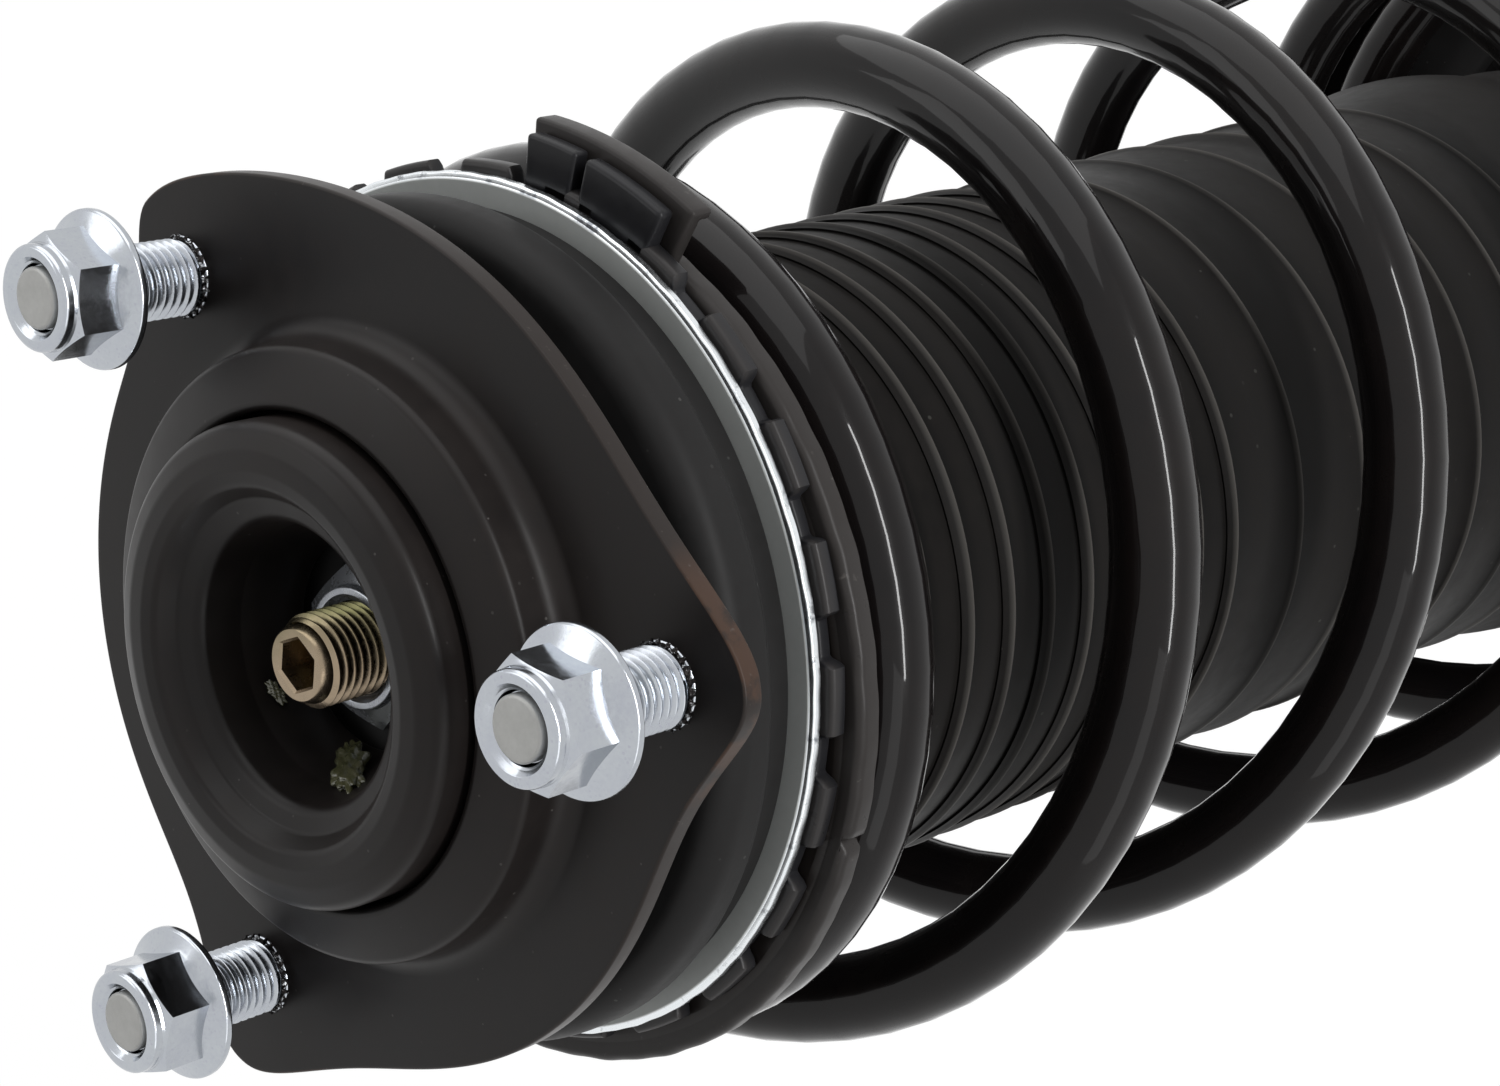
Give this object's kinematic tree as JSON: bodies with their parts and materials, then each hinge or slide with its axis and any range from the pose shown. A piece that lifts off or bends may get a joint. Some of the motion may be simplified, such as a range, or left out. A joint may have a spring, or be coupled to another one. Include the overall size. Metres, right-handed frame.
{
  "type": "suspension strut",
  "caption": "Coil-over strut: lobed top mount with studs, steering bearing, coil spring round a ribbed boot, telescopic damper and clevis bracket.",
  "frame": {"origin": "centre of the three studs' circle, on the top plate's outer face", "axes": "+Z along the rod's axis, out of the top plate, whose studs lean 1.1 degrees from it; +X towards the knuckle bracket's ears"},
  "size_m": [0.176, 0.176, 0.5658],
  "materials": {
    "zinc_bright": "bright blue-white zinc plating",
    "paint_black": "satin black coating over pressed steel",
    "rubber_black": "moulded, matte",
    "zinc_satin": "satin zinc plating",
    "spring_coat": "glossy black powder coat",
    "rod_chrome": "hard chrome, threaded end brown",
    "sleeve_steel": "turned, oiled",
    "bearing_steel": "ground",
    "cage_plastic": "moulded",
    "seal_rubber": "moulded, slightly glossy",
    "seat_steel": "glossy dark brown-black coat",
    "boot_rubber": "moulded, matte",
    "bump_foam": "microcellular foam",
    "sintered_steel": "sintered",
    "band_ptfe": "bronze filled",
    "tube_black": "semi-gloss black coat"
  },
  "bodies": {
    "top_mount": {"stud_flange_nuts": "zinc_bright", "mount_studs": "zinc_bright", "mount_top_plate": "paint_black", "mount_inner_cup": "paint_black", "mount_rubber": "rubber_black", "mount_inner_sleeve": "sleeve_steel", "mount_lower_plate": "zinc_satin", "rod_lock_nut": "zinc_bright", "bearing_upper_race": "bearing_steel", "stop_washer": "sleeve_steel", "bump_stop": "bump_foam", "piston_rod": "rod_chrome", "rebound_stop": "rubber_black", "piston": "sintered_steel", "piston_band": "band_ptfe", "piston_nut": "zinc_bright"},
    "bearing_roller_set": {"bearing_balls": "bearing_steel", "bearing_cage": "cage_plastic"},
    "spring_top": {"bearing_lower_race": "bearing_steel", "bearing_dust_seal": "seal_rubber", "upper_spring_seat": "seat_steel", "upper_spring_insulator": "rubber_black", "coil_spring": "spring_coat", "dust_boot": "boot_rubber"},
    "strut_body": {"tube_cap": "tube_black", "rod_seal": "rubber_black", "rod_guide": "sintered_steel", "strut_tube": "tube_black", "inner_cylinder": "bearing_steel", "base_valve": "sintered_steel", "bottom_cap": "tube_black", "lower_spring_seat": "tube_black", "lower_spring_pad": "rubber_black", "knuckle_bracket": "tube_black", "hose_bracket": "tube_black", "stabilizer_bracket": "tube_black"}
  },
  "joints": [
    {"name": "steer", "type": "hinge", "parent": "top_mount", "child": "spring_top", "pos_m": [0, 0, -0.0272], "axis": [0, 0, 1], "range_deg": [-40, 40]},
    {"name": "roller_set_turn", "type": "hinge", "parent": "top_mount", "child": "bearing_roller_set", "pos_m": [0, 0, -0.0272], "axis": [0, 0, 1], "range_deg": [-21, 21]},
    {"name": "stroke", "type": "slide", "parent": "spring_top", "child": "strut_body", "axis": [0, 0, 1], "range_m": [0, 0.15], "stiffness_N_per_m": 22000, "deforming": ["coil_spring", "dust_boot"]}
  ],
  "couplings": [
    {"joint": "roller_set_turn", "follows": "steer", "ratio": 0.5}
  ]
}
